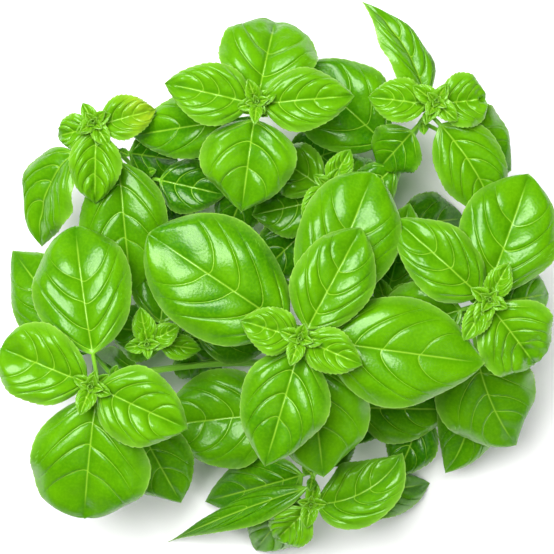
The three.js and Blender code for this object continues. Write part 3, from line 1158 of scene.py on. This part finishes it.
def mottle_group() -> bpy.types.NodeTree:
    """Makes a soft cloudy change between two colours, for leaves and stems.

    Returns:
        The group, which puts out the colour and the share of the higher one.
    """
    group = new_group(
        "mottle",
        {"Place": "Vector", "Scale": "Float", "Low": "Color", "High": "Color"},
        {"Color": "Color", "Value": "Float"},
    )
    sheet = NodeSheet(group)
    taken = sheet.add("NodeGroupInput").outputs
    place = {"Vector": taken["Place"], "Scale": taken["Scale"]}
    noise = sheet.add("TexNoise", {**place, "Detail": 3.0, "Roughness": 0.55})
    value = sheet.ramp(noise.outputs["Fac"], 0.3, 0.7, 0.0, 1.0)
    colour = sheet.coats(taken["Low"], (value, taken["High"]))
    sheet.add("NodeGroupOutput", {"Color": colour, "Value": value})
    return group


def vein_net_group() -> bpy.types.NodeTree:
    """Parts the tissue into small soft cushions by its finest veins.

    Returns:
        The group, which puts out a mask of the lines and a height.
    """
    group = new_group(
        "vein_net", {"Place": "Vector", "Scale": "Float"}, {"Line": "Float", "Height": "Float"}
    )
    sheet = NodeSheet(group)
    taken = sheet.add("NodeGroupInput").outputs
    place = {"Vector": taken["Place"], "Scale": taken["Scale"]}
    cells = sheet.add(
        "TexVoronoi",
        {**place, "Smoothness": 0.6},
        feature="SMOOTH_F1",
        voronoi_dimensions="2D",
    )
    line = sheet.ramp(cells.outputs["Distance"], 0.35, 0.65, 0.0, 1.0)
    height = sheet.ramp(cells.outputs["Distance"], 0.0, 0.7, 1.0, 0.0)
    sheet.add("NodeGroupOutput", {"Line": line, "Height": height})
    return group


@dataclass(frozen=True)
class LeafFinish:
    """Glossy fresh tissue: green with paler veins, a rim partly paler and partly painted sheen,
    painted shade in grooves and on low leaves, paler and duller below.
    """

    deep: Colour = (0.026, 0.17, 0.0005)
    bright: Colour = (0.118, 0.36, 0.0005)
    # painted shade: the dark green that low and inner leaves are mixed towards, for the shadow
    # under the canopy
    young: Colour = (0.17, 0.46, 0.004)
    painted_shade: Colour = (0.016, 0.12, 0.0003)
    vein: Colour = (0.36, 0.66, 0.04)
    # partly the margin's own paleness and partly painted sheen where the curled margin catches
    # light
    rim: Colour = (0.40, 0.68, 0.12)
    under: Colour = (0.13, 0.40, 0.015)
    stalk: Colour = (0.22, 0.52, 0.03)
    yellow: Colour = (0.55, 0.62, 0.03)
    glow: Colour = (0.22, 0.68, 0.004)
    glow_tint: float = 0.5
    glow_share: float = 0.26
    sheen: Colour = (0.82, 1.0, 0.72)
    rough_above: float = 0.25
    rough_below: float = 0.5
    ior: float = 1.5
    cloud_scale: float = 0.06
    net_scale: float = 0.8
    net_share: float = 0.22
    bump: float = 0.2
    bump_high: float = 0.0002

    def material(self, mottle: bpy.types.NodeTree, net: bpy.types.NodeTree) -> bpy.types.Material:
        """Builds the finish.

        Args:
            mottle: the group for cloudy changes of colour.
            net: the group for the finest veins.

        Returns:
            The material.
        """
        made, sheet, flat = new_material("fresh_leaf")
        cloudy = {"Place": flat, "Scale": self.cloud_scale, "Low": self.deep, "High": self.bright}
        clouds = sheet.add("Group", cloudy, node_tree=mottle)
        lines = sheet.add("Group", {"Place": flat, "Scale": self.net_scale}, node_tree=net)
        colour = sheet.coats(
            clouds.outputs["Color"],
            (sheet.mark("tone", most=0.6), self.bright),
            # painted shade on low and inner leaves
            (sheet.mark("shade", most=0.8), self.painted_shade),
            (sheet.mark("youth", most=0.8), self.young),
            (sheet.mark("under"), self.under),
            (sheet.mark("yellow"), self.yellow),
            (sheet.ramp(lines.outputs["Line"], 0, 1, 0, self.net_share), self.young),
            # painted shade in the grooves beside the veins
            (sheet.mark("sunk", most=0.45), self.deep),
            (sheet.mark("vein", start=0.1, most=0.85), self.vein),
            # pale rim, partly painted sheen along the margin
            (sheet.mark("rim", most=0.75), self.rim),
            (sheet.mark("stalk"), self.stalk),
        )
        off_stalk = sheet.ramp(sheet.mark("stalk"), 0, 1, 1, 0)
        fine = sheet.sum("MULTIPLY", lines.outputs["Height"], off_stalk)
        raised = {"Height": fine, "Strength": self.bump, "Distance": self.bump_high}
        normal = sheet.add("Bump", raised).outputs[0]
        rough = sheet.ramp(sheet.mark("under"), 0, 1, self.rough_above, self.rough_below)
        looks = {"Base Color": colour, "Roughness": rough, "Normal": normal}
        gloss = {"IOR": self.ior, "Specular Tint": self.sheen}
        skin = sheet.add("BsdfPrincipled", looks | gloss)
        lit = sheet.coats(colour, (self.glow_tint, self.glow))
        through = sheet.add("BsdfTranslucent", {"Color": lit, "Normal": normal})
        shares = {0: self.glow_share, 1: skin.outputs[0], 2: through.outputs[0]}
        both = sheet.add("MixShader", shares)
        sheet.add("OutputMaterial", {"Surface": both.outputs[0]})
        return made


@dataclass(frozen=True)
class StemFinish:
    """Smooth pale green skin with fine lengthwise streaks, and a wet pale pith at the cut."""

    skin: Colour = (0.20, 0.46, 0.03)
    shade: Colour = (0.13, 0.36, 0.02)
    young: Colour = (0.26, 0.58, 0.05)
    pith: Colour = (0.55, 0.68, 0.32)
    streak_scale: Place = (0.12, 2.4, 1.0)
    rough: float = 0.4
    bump: float = 0.15
    bump_high: float = 0.0003

    def material(self, mottle: bpy.types.NodeTree) -> bpy.types.Material:
        """Builds the finish.

        Args:
            mottle: the group for cloudy changes of colour.

        Returns:
            The material.
        """
        made, sheet, flat = new_material("green_stem")
        drawn = sheet.add("Mapping", {"Vector": flat, "Scale": self.streak_scale}).outputs[0]
        streaky = {"Place": drawn, "Scale": 1.0, "Low": self.shade, "High": self.skin}
        streaks = sheet.add("Group", streaky, node_tree=mottle).outputs
        colour = sheet.coats(
            streaks["Color"],
            (sheet.mark("young", start=0.3, most=0.8), self.young),
            (sheet.mark("knuckle", most=0.4), self.young),
            (sheet.mark("pith"), self.pith),
        )
        raised = {"Height": streaks["Value"], "Strength": self.bump, "Distance": self.bump_high}
        normal = sheet.add("Bump", raised).outputs[0]
        looks = {"Base Color": colour, "Roughness": self.rough, "Normal": normal}
        skin = sheet.add("BsdfPrincipled", looks)
        sheet.add("OutputMaterial", {"Surface": skin.outputs[0]})
        return made


@dataclass(frozen=True)
class Lamp:
    """A square soft light that faces the bunch, in metres and watts."""

    name: str
    place: Place
    wide: float
    power: float
    glossy: bool

    def build(self) -> None:
        """Hangs the light."""
        data = bpy.data.lights.new(self.name, "AREA")
        data.size = self.wide
        data.energy = self.power
        x, y, high = self.place
        lamp = placed(self.name, data)
        lamp.location = self.place
        tilt = np.arctan2(np.hypot(x, y), high)
        lamp.rotation_euler = (0.0, float(tilt), float(np.arctan2(y, x)))
        lamp.visible_glossy = self.glossy


@dataclass(frozen=True)
class Studio:
    """The table, the soft lights and the camera over the bunch, in metres."""

    table_half: float = 0.65
    table_colour: Colour = (0.9, 0.9, 0.9)
    table_rough: float = 0.9
    camera_high: float = 1.0
    seen_high: float = 0.09
    seen_wide: float = 0.2493
    sensor: float = 36.0
    horizon: float = 1.0
    overhead: float = 0.06
    horizon_end: float = 0.3
    lamps: tuple[Lamp, ...] = (
        Lamp("key", (-0.3, 0.36, 1.22), 0.85, 35.5, glossy=True),
        Lamp("fill", (0.7, -0.65, 0.95), 0.8, 7.5, glossy=False),
    )

    def build(self) -> None:
        """Lays the table and sets the lights and the camera."""
        self.lay_table()
        self.light_sky()
        for lamp in self.lamps:
            lamp.build()
        self.hang_camera()

    def lay_table(self) -> None:
        """Lays a white table under the bunch."""
        h = self.table_half
        mesh = bpy.data.meshes.new("table")
        mesh.from_pydata([(-h, -h, 0), (h, -h, 0), (h, h, 0), (-h, h, 0)], [], [(0, 1, 2, 3)])
        table = placed("table", mesh)
        white = bpy.data.materials.new("white_table")
        white.use_nodes = True
        shader = white.node_tree.nodes["Principled BSDF"]
        shader.inputs["Base Color"].default_value = (*self.table_colour, 1.0)
        shader.inputs["Roughness"].default_value = self.table_rough
        mesh.materials.append(white)

    def light_sky(self) -> None:
        """Makes a sky that is bright at the horizon, dim overhead, and white where it is seen."""
        world = bpy.data.worlds.new("studio")
        world.use_nodes = True
        sheet = NodeSheet(world.node_tree)
        way = sheet.add("TexCoord").outputs["Generated"]
        height = sheet.add("SeparateXYZ", {0: way}).outputs["Z"]
        soft = sheet.ramp(height, 0.0, self.horizon_end, self.horizon, self.overhead)
        seen = sheet.add("LightPath").outputs["Is Camera Ray"]
        strength = sheet.sum("MAXIMUM", soft, seen)
        sky = sheet.add("Background", {"Color": (1.0, 1.0, 1.0), "Strength": strength})
        sheet.add("OutputWorld", {"Surface": sky.outputs[0]})
        bpy.context.scene.world = world
        world.cycles_visibility.glossy = False

    def hang_camera(self) -> None:
        """Hangs the camera over the middle of the bunch, looking straight down."""
        data = bpy.data.cameras.new("overhead")
        data.sensor_width = data.sensor_height = self.sensor
        data.lens = self.sensor * (self.camera_high - self.seen_high) / self.seen_wide
        camera = placed("overhead", data)
        x, y, _ = LAYOUT_SHIFT * MM
        camera.location = (x, y, self.camera_high)
        bpy.context.scene.camera = camera
        bpy.context.scene.view_settings.view_transform = "Standard"


LOW, MIDDLE, HIGH = Layer.LOW, Layer.MIDDLE, Layer.HIGH

SPRIGS = (
    Sprig(
        "sprig_centre",
        (cut_end(-1, HIGH), (22, -18, 12), (17, -29, 60), (10, -27, 112)),
        (
            Leaf(0.5, 75, 1, 9, 6, 60, 30),
            Leaf(0.5, 250, 1, 13, 8, 35, 20),
            Leaf(3, 163, 2, 26, 21, 22, 35),
            Leaf(3, 337, 2, 28, 20, 20, 35),
            Leaf(8, 62, 5, 52, 36, 20, 45, point=0.8),
            Leaf(8, 254, 5, 57, 40, 14, 45),
            Leaf(15, 146, 10, 75, 55, 22, 38, point=0.65),
            Leaf(15, 352, 9, 75, 50, 16, 40, point=0.9),
            Leaf(24, 68, 14, 68, 46, 23, 45, point=0.58),
            Leaf(25, 277, 12, 58, 50, 4, 42),
        ),
    ),
    Sprig(
        "sprig_back",
        (cut_end(0.4, MIDDLE, 4), (5, 14, 8), (-14, 68, 40), (-9, 78, 98)),
        (
            Leaf(0.5, 112, 1, 12, 7, 50, 30),
            Leaf(0.5, 265, 1, 12, 6, 45, 20),
            Leaf(4, 167, 3, 40, 28, 20, 40),
            Leaf(4, 5, 3, 42, 28, 18, 38),
            Leaf(10, 78, 5, 45, 45, 16, 80, point=0.7),
            Leaf(10, 262, 5, 44, 44, 14, 50, point=1.1),
            Leaf(20, 187, 10, 53, 30, 0, 40),
            Leaf(48, 246, 8, 42, 26, -8, 30, shade=1.0),
            Leaf(64, 178, 14, 32, 30, 6, 20, shade=1.0),
            Leaf(64, 20, 8, 38, 28, 0, 20, shade=1.0),
        ),
    ),
    Sprig(
        "sprig_front_left",
        (cut_end(-4.6, LOW, 2), (12, -30, 2.2), (-78, -46, 30), (-83.5, -49, 92)),
        (
            Leaf(0.5, 70, 1, 8, 5, 60, 20),
            Leaf(0.5, 250, 1, 14, 9, 35, 20),
            Leaf(4, 158, 3, 43, 36, 18, 42, point=0.55),
            Leaf(4, 335, 3, 45, 36, 15, 38),
            Leaf(12, 99, 14, 62, 46, 20, 55, point=0.65),
            Leaf(12, 263, 6, 62, 55, 14, 56, point=0.5),
            Leaf(28, 296, 28, 46, 34, -8, 30, shade=0.3),
            Leaf(28, 130, 16, 67, 40, 6, 45, shade=0.2),
            Leaf(56, 196, 8, 50, 34, None, 50, shade=0.4),
        ),
    ),
    Sprig(
        "sprig_right",
        (cut_end(11, LOW, -2), (66, -30, 2.2), (84, -20, 25), (95, -10, 95)),
        (
            Leaf(0.5, 150, 1, 7, 4, 60, 20),
            Leaf(0.5, 330, 1, 7, 4, 60, 20),
            Leaf(2.5, 62, 2, 18, 12, 30, 30),
            Leaf(2.5, 238, 2, 20, 12, 25, 30),
            Leaf(6, 138, 4, 53, 32, 20, 42),
            Leaf(6, 309, 4, 37, 38, 14, 65, point=0.8),
            Leaf(12, 70, 6, 58, 46, 24, 50, point=0.75),
            Leaf(18, 8, 6, 36, 34, 0, 60),
            Leaf(18, 196, 8, 46, 38, 4, 45),
            Leaf(28, 271, 20, 59, 48, 0, 45, sweep=40),
            Leaf(48, 294, 24, 63, 32, 0, 40, sweep=-56, shade=0.3),
        ),
    ),
    Sprig(
        "sprig_back_right",
        (cut_end(4.6, LOW, 6), (44, -20, 2.2), (46, 48, 26), (71.5, 79, 92)),
        (
            Leaf(0.5, 60, 1, 9, 5, 50, 20),
            Leaf(0.5, 240, 1, 9, 5, 50, 20),
            Leaf(4, 172, 3, 27, 20, 10, 35),
            Leaf(4, 8, 2, 24, 25, 10, 50, point=0.7),
            Leaf(10, 98, 6, 54, 24, 8, 20, roll=35, sweep=45, point=1.2),
            Leaf(10, 316, 8, 54, 32, 8, 45, sweep=-24),
            Leaf(18, 334, 10, 45, 42, 0, 50),
            Leaf(18, 228, 6, 30, 26, -15, 50),
            Leaf(46, 138, 12, 54, 44, 22, 35, point=0.8, shade=0.0),
            Leaf(46, 222, 6, 28, 20, 18, 30),
            Leaf(88, 8, 6, 44, 30, None, 40, shade=0.9),
        ),
    ),
    Sprig(
        "sprig_back_left",
        (cut_end(0, LOW, 9), (-8, 10, 2.2), (-60, 36, 34), (-84, 71, 75)),
        (
            Leaf(0.5, 40, 1, 9, 5, 50, 20),
            Leaf(0.5, 220, 1, 9, 5, 50, 20),
            Leaf(3, 268, 3, 34, 24, 10, 45),
            Leaf(3, 16, 2, 27, 20, 15, 45, yellow=0.5),
            Leaf(4, 190, 2, 20, 16, 5, 60),
            Leaf(8, 205, 16, 53, 34, -5, 30, roll=35, sweep=72),
            Leaf(22, 275, 5, 63, 42, 14, 45, point=0.8),
            Leaf(22, 354, 6, 30, 26, -32, 20, shade=1.0),
            Leaf(42, 318, 6, 34, 26, -34, 16, shade=1.0),
            Leaf(42, 347, 8, 32, 26, 20, 30, shade=1.0),
            Leaf(66, 176, 8, 46, 32, None, 50, shade=0.8),
        ),
    ),
    Sprig(
        "sprig_front",
        (cut_end(-6, HIGH, -3), (22, -24, 12), (19, -62, 52), (16, -108, 42)),
        (
            Leaf(1, 357, 3, 50, 32, 22, 30, roll=-20, sweep=64),
            Leaf(9, 197, 3, 88, 17, None, 46, roll=35, sweep=16, point=1.8),
            Leaf(4, 2, 8, 66, 28, None, 35, roll=-20),
            Leaf(3, 214, 4, 52, 30, -34, 20, sweep=30),
            Leaf(0.5, 231, 3, 27, 22, -14, 40, sweep=-4),
            Leaf(16, 199, 6, 60, 32, -27, 12),
            Leaf(14, 50, 8, 24, 18, -10, 20),
            Leaf(48, 187, 22, 60, 49, 10, 30, shade=0.1),
            Leaf(48, 358, 16, 50, 34, 4, 30, shade=0.3),
        ),
    ),
    Sprig(
        "sprig_inner_left",
        (cut_end(-4.6, MIDDLE, 1), (0, -14, 8), (-50, -28, 22), (-60, -31, 66)),
        (
            Leaf(1, 100, 2, 17, 11, 40, 40),
            Leaf(1, 30, 2, 16, 11, 30, 40),
            Leaf(6, 352, 4, 20, 12, 10, 40),
            Leaf(14, 84, 8, 44, 32, 5, 40),
            Leaf(28, 4, 10, 44, 30, 10, 40, shade=0.9),
            Leaf(28, 172, 4, 30, 28, 4, 20),
            Leaf(30, 311, 5, 34, 27, -40, 8),
        ),
    ),
    Sprig(
        "sprig_inner_back",
        (cut_end(6.2, MIDDLE, 2), (28, 0, 14), (20, 30, 24), (24, 42, 72)),
        (
            Leaf(1, 60, 2, 18, 12, 30, 40),
            Leaf(1, 230, 2, 18, 12, 30, 40),
            Leaf(8, 146, 4, 30, 26, 5, 40),
            Leaf(8, 330, 4, 34, 26, 5, 40),
            Leaf(18, 192, 6, 30, 28, 15, 30),
            Leaf(28, 224, 8, 40, 30, 5, 30, shade=1.0),
            Leaf(18, 30, 6, 32, 26, -10, 40),
        ),
    ),
    Sprig(
        "sprig_inner_right",
        (cut_end(4.2, HIGH, -2), (50, -34, 12), (48, -20, 26), (51, -12, 54)),
        (
            Leaf(1, 20, 2, 18, 12, 30, 40),
            Leaf(1, 200, 2, 18, 12, 30, 40),
            Leaf(6, 76, 5, 46, 28, 15, 35),
            Leaf(6, 256, 4, 34, 24, -5, 35),
            Leaf(52, 302, 30, 34, 26, 35, 60, sweep=-70),
            Leaf(46, 262, 22, 32, 18, 45, 80, sweep=-24),
        ),
    ),
)


def main() -> None:
    """Builds the bunch and its studio."""
    logging.basicConfig(level=logging.INFO, format="%(name)s %(message)s")
    mottle, net = mottle_group(), vein_net_group()
    leaf_finish = LeafFinish().material(mottle, net)
    stem_finish = StemFinish().material(mottle)
    grown = 0
    for sprig in SPRIGS:
        replace(sprig, first=grown).build(leaf_finish, stem_finish)
        grown += len(sprig.leaves)
    Studio().build()


if __name__ == "__main__":
    main()
